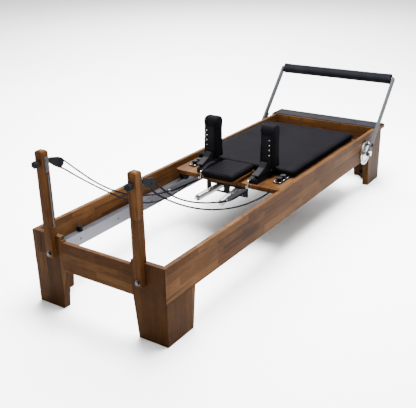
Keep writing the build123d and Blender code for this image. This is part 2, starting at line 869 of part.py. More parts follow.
def spring_mounts():
    """Slotted bar for the loose springs, their pivot pins, and the angle that the drive springs pull on."""
    swing = 26.0
    with BuildPart() as cradle:
        with BuildSketch(end_plane(drive_anchor_x)):
            span(-170.0, 170.0, spring_z - spring_r, carriage_bottom)
        extrude(amount=-5.0)
        with BuildSketch(Plane.XY.offset(carriage_bottom - 5.0)):
            span(drive_anchor_x - 40.0, drive_anchor_x, -170.0, 170.0)
        extrude(amount=5.0)
        with BuildSketch(end_plane(cradle_x[0])):
            span(-138.0, 122.0, spring_z - spring_r - 8.0, carriage_bottom)
            for spring in loose_springs.values():
                share = (spring["anchor"][0] - cradle_x[0]) / (spring["anchor"][0] - spring["tip"][0])
                y = spring["anchor"][1] + share * (spring["tip"][1] - spring["anchor"][1])
                with Locations((y, spring_z)):
                    Rectangle(2 * (spring_r + swing), 2 * spring_r + 2.0, mode=Mode.SUBTRACT)
        extrude(amount=cradle_x[1] - cradle_x[0])
        for spring in loose_springs.values():
            with BuildSketch(Plane.XY.offset(carriage_bottom)):
                with Locations(spring["anchor"]):
                    Circle(spring_pin_r)
            extrude(amount=-(carriage_bottom - spring_z + 8.0))
            with BuildSketch(Plane.XY.offset(carriage_bottom)):
                with Locations(spring["anchor"]):
                    Circle(14.0)
            extrude(amount=-8.0)
            with BuildSketch(Plane.XY.offset(spring_z - 5.5)):
                with Locations(spring["anchor"]):
                    Circle(7.0)
            extrude(amount=-3.0)
    return cradle.part


def spring_bar():
    """Bar with hooks on the inner end board, where the drive springs hang on."""
    with BuildPart() as bar:
        with BuildSketch(end_plane(platform_near_x - 8.0)):
            span(-230.0, 230.0, spring_z - 22.0, spring_z + 18.0)
        extrude(amount=8.0)
        with BuildSketch(end_plane(platform_near_x - 24.0)):
            with Locations(*[(y, spring_z) for y in drive_spring_ys]):
                Circle(5.0)
        extrude(amount=16.0)
    return bar.part


def drive_springs():
    """Extension springs between the carriage and the foot end."""
    far = platform_near_x - 24.3
    near = drive_anchor_x + 0.3
    with BuildPart() as springs:
        for y in drive_spring_ys:
            with BuildSketch(end_plane(near)):
                with Locations((y, spring_z)):
                    Circle(4.0)
            extrude(amount=far - near)
            with BuildSketch(end_plane(near + 22.0)):
                with Locations((y, spring_z)):
                    Circle(spring_r)
            extrude(amount=far - near - 44.0)
    return springs.part


for name, spring in loose_springs.items():
    save(loose_spring(spring["anchor"], spring["tip"]), f"loose_spring_{name}")
save(spring_mounts(), "spring_mounts")
save(spring_bar(), "spring_bar")
save(drive_springs(), "drive_springs")

# ==== footbar ====
arm_angle = math.degrees(math.atan2(footbar_z - pivot_z, footbar_x - pivot_x))
arm_length = math.hypot(footbar_z - pivot_z, footbar_x - pivot_x)
crossbar_size = 58.0
core_r = 12.0
pin_circle_r = 58.0
lock_pin_r = 5.0
groove_depth = 3.5
pivot_r = 10.0


def arm_plane(y):
    """Side plane turned so that local x runs up the arm from the pivot."""
    slope = math.radians(arm_angle)
    return Plane(origin=(pivot_x, y, pivot_z), x_dir=(math.cos(slope), 0, math.sin(slope)), z_dir=(0, -1, 0))


def footbar_arms():
    """Flat-tube arms with rounded ends, bored for the pivot and for the lock pin."""
    with BuildPart() as arms:
        for side in SIDES.values():
            with BuildSketch(arm_plane(side * arm_y)):
                with Locations((0, 0)):
                    Circle(20.0)
                span(0, arm_length + 6.0, -arm_w / 2, arm_w / 2)
                with Locations((0, 0)):
                    Circle(pivot_r + hole_clearance, mode=Mode.SUBTRACT)
                with Locations((pin_circle_r, 0)):
                    Circle(lock_pin_r + hole_clearance, mode=Mode.SUBTRACT)
            extrude(amount=-side * arm_t)
            with BuildSketch(arm_plane(side * arm_y)):
                with Locations((170.0, -arm_w / 2 - 7.0)):
                    Rectangle(34.0, 14.0)
            extrude(amount=-side * 10.0)
        fillet(arms.edges().filter_by(lambda e: e.length > arm_length / 2), 2.5)
    return arms.part


def footbar_core():
    """Steel tube between the arms."""
    with BuildPart() as core:
        with BuildSketch(side_plane(arm_y)):
            with Locations((footbar_x, footbar_z)):
                Circle(core_r)
                Circle(core_r - 2.5, mode=Mode.SUBTRACT)
        extrude(amount=2 * arm_y)
    return core.part


def footbar_pad():
    """Foam grip of rounded square section on the tube."""
    half = arm_y - 2.0
    with BuildPart() as pad:
        with BuildSketch(arm_plane(half)):
            with Locations((arm_length, 0)):
                RectangleRounded(crossbar_size, crossbar_size, 9.0)
                Circle(core_r + 0.05, mode=Mode.SUBTRACT)
        extrude(amount=2 * half)
        fillet(pad.edges().filter_by(GeomType.LINE).filter_by(lambda e: e.length < crossbar_size), 1.5)
    return pad.part


def footbar_discs():
    """Adjuster discs with a grooved ring of pin holes, on washers, and the studs that carry the arms."""
    stud_end = arm_y + arm_t + 9.0
    with BuildPart() as discs:
        for side in SIDES.values():
            with BuildSketch(side_plane(side * half_width)):
                with Locations((pivot_x, pivot_z)):
                    Circle(24.0)
            extrude(amount=-side * (disc_y - half_width))
            with BuildSketch(arm_plane(side * disc_y)):
                Circle(disc_r)
                with PolarLocations(pin_circle_r, 12):
                    Circle(lock_pin_r + hole_clearance, mode=Mode.SUBTRACT)
            extrude(amount=-side * disc_t)
            with BuildSketch(arm_plane(side * (disc_y + disc_t))):
                Circle(pin_circle_r + lock_pin_r + 0.5)
                Circle(pin_circle_r - lock_pin_r - 0.5, mode=Mode.SUBTRACT)
            extrude(amount=side * groove_depth, mode=Mode.SUBTRACT)
            with BuildSketch(side_plane(side * (disc_y + disc_t))):
                with Locations((pivot_x, pivot_z)):
                    Circle(pivot_r)
            extrude(amount=-side * (stud_end - disc_y - disc_t))
            with BuildSketch(side_plane(side * (arm_y + arm_t + 0.4))):
                with Locations((pivot_x, pivot_z)):
                    Circle(17.0)
            extrude(amount=-side * 8.6)
            with BuildSketch(side_plane(side * half_width)):
                with Locations((pivot_x, pivot_z)):
                    Circle(post_bolt_r)
            extrude(amount=side * board_t)
    return discs.part


def lock_pin(side):
    """Pull pin with a knob, through the arm into the disc's groove."""
    tip = disc_y + disc_t - groove_depth + 0.5
    collar = arm_y + arm_t + 0.3
    with BuildPart() as pin:
        with BuildSketch(arm_plane(side * tip)):
            with Locations((pin_circle_r, 0)):
                Circle(lock_pin_r)
        extrude(amount=-side * (collar - tip + 8.0))
        with BuildSketch(arm_plane(side * collar)):
            with Locations((pin_circle_r, 0)):
                Circle(12.0)
        extrude(amount=-side * 8.0)
        fillet(pin.faces().sort_by(Axis.Y)[-1 if side == LEFT else 0].edges(), 3.0)
    return pin.part


save(footbar_arms(), "footbar_arms")
save(footbar_core(), "footbar_core")
save(footbar_pad(), "footbar_pad")
save(footbar_discs(), "footbar_discs")
for name, side in SIDES.items():
    save(lock_pin(side), f"lock_pin_{name}")

# ==== ropes and hand straps ====
# Each route runs from the guide eye under the carriage, along the lower strand, round the sheave and
# back along the upper strand to the ring of the hand strap. Distances are from the head end.
lower_left = [
    (1186.0, 257.0, 300.0), (1140.0, 257.0, 286.0), (1066.0, 257.0, 267.0), (968.0, 256.0, 251.0),
    (864.0, 256.0, 247.0), (760.0, 256.0, 260.0), (660.0, 255.0, 288.0), (564.0, 255.0, 331.0),
    (476.0, 254.0, 383.0), (391.0, 254.0, 440.0), (307.0, 254.0, 499.0), (221.0, 254.0, 563.0),
    (152.0, 254.0, 617.0), (111.0, 254.0, 651.0),
]
upper_left = [
    (127.0, 253.0, 678.0), (187.0, 247.0, 621.0), (263.0, 236.0, 549.0), (349.0, 221.0, 481.0),
    (446.0, 206.0, 424.0), (543.0, 193.0, 383.0), (634.0, 182.0, 357.0), (702.0, 173.0, 346.0),
    (752.0, 167.0, 342.0),
]
lower_right = [
    (1186.0, -237.0, 300.0), (1142.0, -237.0, 295.0), (1066.0, -238.0, 294.0), (964.0, -240.0, 302.0),
    (858.0, -243.0, 317.0), (752.0, -245.0, 339.0), (646.0, -247.0, 368.0), (543.0, -249.0, 403.0),
    (446.0, -251.0, 442.0), (349.0, -252.0, 488.0), (256.0, -253.0, 539.0), (172.0, -254.0, 592.0),
    (113.0, -254.0, 638.0),
]
upper_right = [
    (121.0, -253.0, 679.0), (167.0, -248.0, 637.0), (240.0, -240.0, 579.0), (329.0, -230.0, 524.0),
    (429.0, -219.0, 475.0), (531.0, -208.0, 433.0), (632.0, -196.0, 396.0), (722.0, -184.0, 365.0),
    (776.0, -176.0, 348.0),
]
strap_w = 40.0
strap_t = 14.0


def around_sheave(y, arrive, leave, corners=3):
    """Corners of the rope's path round the upper back of the sheave, between the two free strands."""
    arriving = math.atan2(sheave_z - arrive[2], from_head(arrive[0]) - sheave_x)
    start = math.degrees(arriving)
    distance_in = math.hypot(sheave_z - arrive[2], from_head(arrive[0]) - sheave_x)
    distance_out = math.hypot(leave[2] - sheave_z, from_head(leave[0]) - sheave_x)
    first = -start - math.degrees(math.acos(rope_wrap_r / distance_in))
    leaving = math.degrees(math.atan2(leave[2] - sheave_z, from_head(leave[0]) - sheave_x))
    last = leaving + math.degrees(math.acos(rope_wrap_r / distance_out))
    sweep_angle = (360.0 + first) - last
    step = sweep_angle / corners
    reach = (rope_wrap_r + 0.15) / math.cos(math.radians(step / 2))
    turns = [math.radians(360.0 + first - step * (i + 0.5)) for i in range(corners)]
    return [(sheave_x + reach * math.cos(a), y, sheave_z + reach * math.sin(a)) for a in turns]


def rope_route(side, lower, upper):
    y = side * post_y
    wrap = around_sheave(y, lower[-1], upper[0])
    run_in = [(from_head(x), py, z) for x, py, z in lower]
    run_out = [(from_head(x), py, z) for x, py, z in upper]
    return run_in + wrap + run_out, len(run_in)


def bend_radii(points, wrap_start, wrap_count=3):
    """Radius of each corner: the sheave's on the sheave, else as large as the two runs allow."""
    radii = []
    for i in range(1, len(points) - 1):
        before = Vector(points[i]) - Vector(points[i - 1])
        after = Vector(points[i + 1]) - Vector(points[i])
        half_turn = math.radians(before.get_angle(after)) / 2
        radius = 0.45 * min(before.length, after.length) / math.tan(half_turn)
        if wrap_start <= i < wrap_start + wrap_count:
            radius = rope_wrap_r
        radii.append(radius)
    return radii


def rope(points, radii):
    """Rope as a round tube along its route."""
    direction = Vector(points[1]) - Vector(points[0])
    with BuildPart() as cord:
        with BuildLine() as route:
            FilletPolyline(*points, radius=radii)
        with BuildSketch(Plane(origin=points[0], z_dir=direction)):
            Circle(rope_r)
        sweep(path=route.line)
    return cord.part, route.wire().length


def hand_strap(side, start, end):
    """Folded webbing loop from the rope's ring to the hook."""
    along = Vector(*end) - Vector(*start)
    across = Vector(0, 0, 1).cross(along).normalized()
    plane = Plane(origin=start, x_dir=across, z_dir=along)
    with BuildPart() as strap:
        with BuildSketch(plane):
            RectangleRounded(strap_w * 0.6, strap_t, 4.0)
        with BuildSketch(plane.offset(along.length * 0.5)):
            RectangleRounded(strap_w, strap_t + 4.0, 4.0)
        with BuildSketch(plane.offset(along.length)):
            RectangleRounded(strap_w, strap_t * 0.7, 4.0)
        loft(ruled=True)
    return strap.part


strands = {"left": (lower_left, upper_left), "right": (lower_right, upper_right)}
strap_ends = {
    "left": (from_head(1003.0), 153.0, 337.0),
    "right": (from_head(1006.0), -153.0, 330.0),
}
for name, (lower, upper) in strands.items():
    side = SIDES[name]
    points, wrap_start = rope_route(side, lower, upper)
    radii = bend_radii(points, wrap_start)
    print(name, "rope bend radii:", [round(r) for r in radii])
    cord_part, cord_length = rope(points, radii)
    volume = math.pi * rope_r ** 2 * cord_length
    print(name, "rope length", round(cord_length))
    print(name, "rope volume", round(cord_part.volume), "section x length", round(volume))
    save(cord_part, f"rope_{name}")
    ring = Vector(*points[-1]) + (Vector(*points[-1]) - Vector(*points[-2])).normalized() * 3.0
    save(hand_strap(side, tuple(ring), strap_ends[name]), f"hand_strap_{name}")
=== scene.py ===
"""Looks of the pilates reformer: materials, upholstery, ropes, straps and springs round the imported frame.

Everything is in metres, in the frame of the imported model. Distances along the machine are counted
from the outer face of the head end, as run(distance).
"""
import math

import bpy
from mathutils import Matrix, Vector


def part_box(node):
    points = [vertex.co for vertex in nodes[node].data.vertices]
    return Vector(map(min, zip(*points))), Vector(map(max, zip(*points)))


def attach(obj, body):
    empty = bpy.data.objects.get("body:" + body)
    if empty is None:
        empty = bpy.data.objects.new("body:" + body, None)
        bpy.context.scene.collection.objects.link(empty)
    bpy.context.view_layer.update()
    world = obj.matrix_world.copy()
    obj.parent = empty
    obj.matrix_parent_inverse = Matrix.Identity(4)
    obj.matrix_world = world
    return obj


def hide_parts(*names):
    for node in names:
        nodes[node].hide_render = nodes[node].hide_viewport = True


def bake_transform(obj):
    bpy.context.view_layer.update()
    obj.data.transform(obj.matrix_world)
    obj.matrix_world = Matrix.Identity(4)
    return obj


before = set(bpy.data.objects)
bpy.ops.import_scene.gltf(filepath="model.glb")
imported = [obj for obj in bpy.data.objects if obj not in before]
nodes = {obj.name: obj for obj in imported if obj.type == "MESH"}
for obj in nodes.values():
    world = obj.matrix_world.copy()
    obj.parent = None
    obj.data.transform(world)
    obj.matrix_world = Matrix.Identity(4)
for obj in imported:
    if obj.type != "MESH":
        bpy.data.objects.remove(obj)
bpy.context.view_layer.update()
scene = bpy.context.scene

SIDES = {"left": 1, "right": -1}
MM = 0.001
head_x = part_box("head_crossboard")[0].x


def run(distance):
    """Distance in millimetres from the head end's outer face, as an x in metres."""
    return head_x + distance * MM


# ==== camera, floor and light ====
def make_camera():
    """Camera at the reference viewing angle."""
    yaw, pitch, roll = math.radians(34.09), math.radians(22.58), math.radians(-1.15)
    forward = Vector((math.cos(yaw) * math.cos(pitch), math.sin(yaw) * math.cos(pitch), -math.sin(pitch)))
    level = Vector((math.sin(yaw), -math.cos(yaw), 0))
    above = level.cross(forward)
    right = math.cos(roll) * level + math.sin(roll) * above
    up = -math.sin(roll) * level + math.cos(roll) * above
    data = bpy.data.cameras.new("camera")
    data.lens = 59.0
    data.sensor_width = 36.0
    data.clip_end = 100
    camera = bpy.data.objects.new("camera", data)
    turn = Matrix((right, up, -forward)).transposed().to_4x4()
    camera.matrix_world = Matrix.Translation((run(-1891), -1.871, 1.649)) @ turn
    scene.collection.objects.link(camera)
    scene.camera = camera


def make_stage(floor_material):
    mesh = bpy.data.meshes.new("floor")
    size = 30.0
    corners = [(-size, -size, -0.001), (size, -size, -0.001), (size, size, -0.001), (-size, size, -0.001)]
    mesh.from_pydata(corners, [], [(0, 1, 2, 3)])
    floor = bpy.data.objects.new("floor", mesh)
    mesh.materials.append(floor_material)
    scene.collection.objects.link(floor)
    world = bpy.data.worlds.new("world")
    world.use_nodes = True
    background = world.node_tree.nodes["Background"]
    background.inputs["Color"].default_value = (1.0, 1.0, 1.0, 1)
    background.inputs["Strength"].default_value = 1.2
    scene.world = world


def make_light(name, place, target, size, power):
    data = bpy.data.lights.new(name, "AREA")
    data.size = size
    data.energy = power
    light = bpy.data.objects.new(name, data)
    light.location = place
    light.rotation_euler = (Vector(target) - Vector(place)).to_track_quat("-Z", "Y").to_euler()
    scene.collection.objects.link(light)


# ==== materials ====
class Shader:
    """A material with its node tree, and short ways to add nodes and links."""

    def __init__(self, name):
        self.material = bpy.data.materials.new(name)
        self.material.use_nodes = True
        self.tree = self.material.node_tree
        self.surface = self.tree.nodes["Principled BSDF"]

    def add(self, kind, **inputs):
        node = self.tree.nodes.new(kind)
        for key, value in inputs.items():
            self.put(node, key.replace("_", " "), value)
        return node

    def put(self, node, socket, value):
        if isinstance(value, bpy.types.NodeSocket):
            self.tree.links.new(value, node.inputs[socket])
        else:
            node.inputs[socket].default_value = value

    def math(self, operation, a, b=0.0):
        node = self.tree.nodes.new("ShaderNodeMath")
        node.operation = operation
        self.put(node, 0, a)
        self.put(node, 1, b)
        return node.outputs[0]

    def ramp(self, factor, stops):
        node = self.tree.nodes.new("ShaderNodeValToRGB")
        elements = node.color_ramp.elements
        while len(elements) < len(stops):
            elements.new(0.5)
        for element, (place, colour) in zip(elements, stops):
            element.position = place
            element.color = (*colour, 1)
        self.put(node, "Fac", factor)
        return node.outputs["Color"]

    def mix(self, blend, factor, a, b):
        node = self.tree.nodes.new("ShaderNodeMix")
        node.data_type = "RGBA"
        node.blend_type = blend
        for socket, value in ((0, factor), (6, a), (7, b)):
            if isinstance(value, tuple) and len(value) == 3:
                value = (*value, 1)
            self.put(node, socket, value)
        return node.outputs[2]

    def bump(self, height, strength, distance):
        node = self.add("ShaderNodeBump", Height=height, Strength=strength, Distance=distance)
        self.tree.links.new(node.outputs["Normal"], self.surface.inputs["Normal"])

    def place(self):
        return self.tree.nodes.new("ShaderNodeTexCoord").outputs["Object"]

    def finish(self, **values):
        for key, value in values.items():
            self.put(self.surface, key.replace("_", " "), value)
        return self.material


def grained_place(shader, grain, across):
    """Object coordinates turned so that x runs along the grain and y across the staves."""
    split = shader.add("ShaderNodeSeparateXYZ", Vector=shader.place())
    side = split.outputs[across[0]]
    for axis in across[1:]:
        side = shader.math("ADD", side, split.outputs[axis])
    turned = shader.tree.nodes.new("ShaderNodeCombineXYZ")
    shader.put(turned, "X", split.outputs[grain])
    shader.put(turned, "Y", side)
    return turned.outputs[0]


def wood(name, grain, across, stave=0.042, block=0.42, shade=1.0):
    """Stained hardwood glued up from finger-jointed staves, each block with its own tone and grain."""
    s = Shader(name)
    place = grained_place(s, grain, across)
    blocks = s.add("ShaderNodeTexBrick", Vector=place, Color1=(0, 0, 0, 1), Color2=(1, 1, 1, 1),
                   Mortar=(0.5, 0.5, 0.5, 1), Scale=1.0, Mortar_Size=0.0004, Mortar_Smooth=0.4,
                   Brick_Width=block, Row_Height=stave)
    blocks.offset = 0.37
    blocks.squash = 0.8
    blocks.squash_frequency = 3
    tone = blocks.outputs["Color"]
    tones = [
        (0.0, (0.0335, 0.0140, 0.0046)),
        (0.3, (0.0405, 0.0174, 0.0057)),
        (0.6, (0.0475, 0.0208, 0.0069)),
        (0.85, (0.0600, 0.0270, 0.0092)),
        (1.0, (0.0800, 0.0375, 0.0135)),
    ]
    base = s.ramp(tone, [(at, tuple(c * shade for c in colour)) for at, colour in tones])
    # broad figure along the grain, shifted from block to block
    stretched = s.add("ShaderNodeMapping", Vector=place, Scale=(3.0, 44.0, 1.0))
    offset = s.add("ShaderNodeCombineXYZ", X=s.math("MULTIPLY", tone, 13.0),
                   Z=s.math("MULTIPLY", tone, 29.0))
    shift = s.tree.nodes.new("ShaderNodeVectorMath")
    s.put(shift, 0, stretched.outputs[0])
    s.put(shift, 1, offset.outputs[0])
    figure = s.add("ShaderNodeTexNoise", Vector=shift.outputs[0], Scale=1.0, Detail=7.0, Roughness=0.6,
                   Distortion=0.9)
    streaks = s.ramp(figure.outputs["Fac"], [(0.3, (0.30, 0.26, 0.22)), (0.48, (0.86, 0.84, 0.82)),
                                            (0.72, (1.0, 1.0, 1.0))])
    colour = s.mix("MULTIPLY", 0.85, base, streaks)
    # fine open pores
    fine = s.add("ShaderNodeMapping", Vector=place, Scale=(22.0, 700.0, 1.0))
    pores = s.add("ShaderNodeTexNoise", Vector=fine.outputs[0], Scale=1.0, Detail=3.0)
    dark_pores = s.ramp(pores.outputs["Fac"], [(0.36, (0.4, 0.34, 0.3)), (0.5, (1, 1, 1))])
    colour = s.mix("MULTIPLY", 0.5, colour, dark_pores)
    # uneven stain, and dark joint lines
    cloud = s.add("ShaderNodeTexNoise", Vector=s.place(), Scale=4.5, Detail=4.0, Roughness=0.6)
    stain = s.ramp(cloud.outputs["Fac"], [(0.34, (0.52, 0.48, 0.44)), (0.6, (1, 1, 1))])
    colour = s.mix("MULTIPLY", 0.6, colour, stain)
    joints = s.ramp(blocks.outputs["Fac"], [(0.0, (1, 1, 1)), (1.0, (0.4, 0.34, 0.3))])
    colour = s.mix("MULTIPLY", 0.6, colour, joints)
    height = s.math("SUBTRACT", s.math("MULTIPLY", pores.outputs["Fac"], 0.4), blocks.outputs["Fac"])
    s.bump(height, 0.25, 0.0005)
    rough = s.math("ADD", s.math("MULTIPLY", figure.outputs["Fac"], 0.2), 0.36)
    return s.finish(Base_Color=colour, Roughness=rough, Specular_IOR_Level=0.012)


def vinyl(name, colour, scale=1100.0, rough=0.48):
    """Upholstery vinyl with a fine pebbled grain and a slight unevenness of tone."""
    s = Shader(name)
    place = s.place()
    pebbles = s.add("ShaderNodeTexVoronoi", Vector=place, Scale=scale)
    pebbles.feature = "SMOOTH_F1"
    cloud = s.add("ShaderNodeTexNoise", Vector=place, Scale=9.0, Detail=5.0)
    darker = tuple(c * 0.82 for c in colour)
    lighter = tuple(c * 1.2 for c in colour)
    tone = s.ramp(cloud.outputs["Fac"], [(0.3, darker), (0.7, lighter)])
    s.bump(pebbles.outputs["Distance"], 0.35, 0.0003)
    worn = s.math("ADD", s.math("MULTIPLY", cloud.outputs["Fac"], 0.16), rough - 0.08)
    return s.finish(Base_Color=tone, Roughness=worn, Specular_IOR_Level=0.002)


def metal(name, colour, rough, metallic=1.0, scale=340.0, stretch=(1, 1, 1)):
    """Metal or painted metal with fine brushing or grain and faint handling marks."""
    s = Shader(name)
    place = s.add("ShaderNodeMapping", Vector=s.place(), Scale=stretch).outputs[0]
    grain = s.add("ShaderNodeTexNoise", Vector=place, Scale=scale, Detail=3.0)
    marks = s.add("ShaderNodeTexNoise", Vector=s.place(), Scale=16.0, Detail=6.0, Roughness=0.7)
    tone = s.ramp(marks.outputs["Fac"], [(0.3, tuple(c * 0.86 for c in colour)), (0.65, colour)])
    s.bump(grain.outputs["Fac"], 0.14, 0.0002)
    worn = s.math("ADD", s.math("MULTIPLY", marks.outputs["Fac"], 0.2), rough - 0.1)
    return s.finish(Base_Color=tone, Roughness=worn, Metallic=metallic, Specular_IOR_Level=0.01)


def moulded(name, colour, rough, scale=700.0):
    """Moulded plastic or rubber with a fine spark-eroded texture."""
    s = Shader(name)
    grain = s.add("ShaderNodeTexNoise", Vector=s.place(), Scale=scale, Detail=2.0)
    dust = s.add("ShaderNodeTexNoise", Vector=s.place(), Scale=22.0, Detail=5.0)
    tone = s.ramp(dust.outputs["Fac"], [(0.35, colour), (0.75, tuple(c * 1.45 + 0.001 for c in colour))])
    s.bump(grain.outputs["Fac"], 0.3, 0.0003)
    worn = s.math("ADD", s.math("MULTIPLY", dust.outputs["Fac"], 0.18), rough - 0.09)
    return s.finish(Base_Color=tone, Roughness=worn, Specular_IOR_Level=0.01)


def woven(name, colour, along, around, depth=0.0004):
    """Braid or webbing: two crossing waves over the piece's own length and width."""
    s = Shader(name)
    place = s.tree.nodes.new("ShaderNodeTexCoord").outputs["UV"]
    waves = []
    for lean in (1.0, -1.0):
        mapping = s.add("ShaderNodeMapping", Vector=place, Scale=(along, around * lean, 1.0))
        split = s.add("ShaderNodeSeparateXYZ", Vector=mapping.outputs[0])
        phase = s.math("ADD", split.outputs[0], split.outputs[1])
        waves.append(s.math("SINE", s.math("MULTIPLY", phase, 2 * math.pi)))
    braid = s.math("MAXIMUM", waves[0], waves[1])
    # painted shade and painted highlight: the colour is darker in the grooves between the strands and
    # lighter on their crests, following the braid's relief
    tone = s.ramp(s.math("ADD", s.math("MULTIPLY", braid, 0.5), 0.5),
                  [(0.2, tuple(c * 0.45 for c in colour)), (0.9, tuple(c * 1.3 for c in colour))])
    s.bump(braid, 0.6, depth)
    return s.finish(Base_Color=tone, Roughness=0.8, Specular_IOR_Level=0.005)


def floor_finish():
    s = Shader("floor_finish")
    cloud = s.add("ShaderNodeTexNoise", Vector=s.place(), Scale=0.8, Detail=3.0)
    tone = s.ramp(cloud.outputs["Fac"], [(0.3, (0.80, 0.80, 0.805)), (0.7, (0.82, 0.82, 0.822))])
    return s.finish(Base_Color=tone, Roughness=0.7)


X, Y, Z = 0, 1, 2
rail_wood = wood("rail_wood", X, (Z,), shade=1.0)
leg_wood = wood("leg_wood", Z, (X, Y), stave=0.046, shade=0.74)
cross_wood = wood("cross_wood", Y, (Z,), shade=0.84)
flat_wood = wood("flat_wood", Y, (X,), shade=0.95)
base_wood = wood("base_wood", X, (Y,), shade=0.95)
post_wood = wood("post_wood", Z, (X, Y), stave=0.06, block=0.9, shade=1.35)
black_vinyl = vinyl("black_vinyl", (0.0024, 0.0022, 0.0028))
grip_foam = vinyl("grip_foam", (0.0046, 0.0046, 0.0058), scale=700.0, rough=0.6)
mat_rubber = moulded("mat_rubber", (0.0060, 0.0060, 0.0070), 0.7, scale=420.0)
aluminium = metal("satin_aluminium", (0.088, 0.088, 0.100), 0.45, stretch=(0.05, 1, 1))
bright_steel = metal("zinc_steel", (0.26, 0.25, 0.25), 0.28)
dull_steel = metal("dull_steel", (0.045, 0.044, 0.046), 0.45)
black_steel = metal("black_steel", (0.0055, 0.0055, 0.006), 0.42, metallic=0.0, scale=800.0)
grey_paint = metal("grey_paint", (0.021, 0.022, 0.025), 0.45, metallic=0.3, scale=600.0)
black_plastic = moulded("black_plastic", (0.0055, 0.0055, 0.006), 0.42)
black_rubber = moulded("black_rubber", (0.0055, 0.0055, 0.0058), 0.62)
rope_braid = woven("rope_braid", (0.0060, 0.0060, 0.0068), 110.0, 4.0)
strap_weave = woven("strap_weave", (0.0075, 0.0075, 0.0085), 320.0, 14.0)

finishes = {
    rail_wood: ["side_rail_left", "side_rail_right"],
    leg_wood: ["head_leg_left", "head_leg_right", "foot_leg_left", "foot_leg_right"],
    cross_wood: ["head_crossboard", "foot_crossboards"],
    flat_wood: ["platform_board", "headrest_board"],
    base_wood: ["carriage_base"],
    post_wood: ["riser_post_left", "riser_post_right"],
    aluminium: ["track_left", "track_right"],
    dull_steel: ["frame_fasteners"],
    bright_steel: ["pulley_eyebolts", "strap_hooks", "headrest_hinge", "footbar_discs",
                   "footbar_core"],
    black_steel: ["caster_housings", "shoulder_bars", "wheel_brackets", "shoulder_frame_left",
                  "shoulder_frame_right", "spring_mounts", "spring_bar"],
    grey_paint: ["footbar_arms"],
    black_plastic: ["clamp_knob_left", "clamp_knob_right", "pulley_block_left", "pulley_block_right",
                    "sheave_left", "sheave_right", "rope_cleats", "lock_pin_left", "lock_pin_right"],
    black_rubber: ["track_bumpers"]
    + [f"{kind}_wheel_{end}_{name}" for kind in ("carriage", "caster") for end in ("head", "foot")
       for name in SIDES],
}
for finish, names in finishes.items():
    for name in names:
        for material_slot in nodes[name].material_slots:
            material_slot.material = finish


# ==== mesh helpers ====
def mesh_object(name, verts, faces, material, uvs=None, smooth=True):
    mesh = bpy.data.meshes.new(name)
    mesh.from_pydata([tuple(v) for v in verts], [], faces)
    if uvs:
        layer = mesh.uv_layers.new(name="UVMap")
        for loop in mesh.loops:
            layer.data[loop.index].uv = uvs[loop.vertex_index]
    for polygon in mesh.polygons:
        polygon.use_smooth = smooth
    mesh.materials.append(material)
    mesh.update()
    piece = bpy.data.objects.new(name, mesh)
    scene.collection.objects.link(piece)
    return piece


def frames_along(points, closed=False):
    """Tangent, side and up at each point, carried along the path without twisting."""
    count = len(points)
    tangents = []
    for i in range(count):
        before = points[i - 1] if i or closed else points[0]
        after = points[(i + 1) % count] if i < count - 1 or closed else points[-1]
        tangents.append((after - before).normalized())
    side = tangents[0].cross(Vector((0, 0, 1)))
    if side.length < 1e-4:
        side = tangents[0].cross(Vector((0, 1, 0)))
    side.normalize()
    made = []
    for tangent in tangents:
        side = (side - side.dot(tangent) * tangent).normalized()
        made.append((tangent, side, side.cross(tangent)))
    return made


def tube(name, points, radius, material, sides=12, closed=False):
    """Round tube along the points, with flat end caps and its length as u."""
    verts, faces, uvs = [], [], []
    length = 0.0
    for i, (point, (tangent, side, up)) in enumerate(zip(points, frames_along(points, closed))):
        if i:
            length += (point - points[i - 1]).length
        for k in range(sides):
            turn = 2 * math.pi * k / sides
            verts.append(point + radius * (math.cos(turn) * side + math.sin(turn) * up))
            uvs.append((length, k / sides))
    rings = len(points)
    for i in range(rings if closed else rings - 1):
        here, there = i * sides, (i + 1) % rings * sides
        for k in range(sides):
            following = (k + 1) % sides
            faces.append((here + k, here + following, there + following, there + k))
    if not closed:
        faces.append(tuple(range(sides))[::-1])
        faces.append(tuple((rings - 1) * sides + k for k in range(sides)))
    return mesh_object(name, verts, faces, material, uvs)


def ring_points(centre, radius, normal, count=28):
    """Points of a circle about the centre."""
    normal = Vector(normal).normalized()
    side = normal.orthogonal().normalized()
    up = normal.cross(side)
    turns = [2 * math.pi * i / count for i in range(count)]
    return [Vector(centre) + radius * (math.cos(t) * side + math.sin(t) * up) for t in turns]


# ==== ropes ====
rope_r = 0.004
sheave_x = run(89)
sheave_z = 0.685
wrap_r = 0.020
post_y = 0.254
whipping_length = 0.034
whipping_t = 0.0009
ring_r = 0.0085
ring_wire_r = 0.0017

lower_left = [
    (1186, 257, 300), (1140, 257, 286), (1066, 257, 267), (968, 256, 251),
    (864, 256, 247), (760, 256, 260), (660, 255, 288), (564, 255, 331),
    (476, 254, 383), (391, 254, 440), (307, 254, 499), (221, 254, 563),
    (152, 254, 617), (111, 254, 651),
]
upper_left = [
    (127, 253, 678), (187, 247, 621), (263, 236, 549), (349, 221, 481),
    (446, 206, 424), (543, 193, 383), (634, 182, 357), (702, 173, 346),
    (752, 167, 342),
]
lower_right = [
    (1186, -237, 300), (1142, -237, 295), (1066, -238, 294), (964, -240, 302),
    (858, -243, 317), (752, -245, 339), (646, -247, 368), (543, -249, 403),
    (446, -251, 442), (349, -252, 488), (256, -253, 539), (172, -254, 592),
    (113, -254, 638),
]
upper_right = [
    (121, -253, 679), (167, -248, 637), (240, -240, 579), (329, -230, 524),
    (429, -219, 475), (531, -208, 433), (632, -196, 396), (722, -184, 365),
    (776, -176, 348),
]


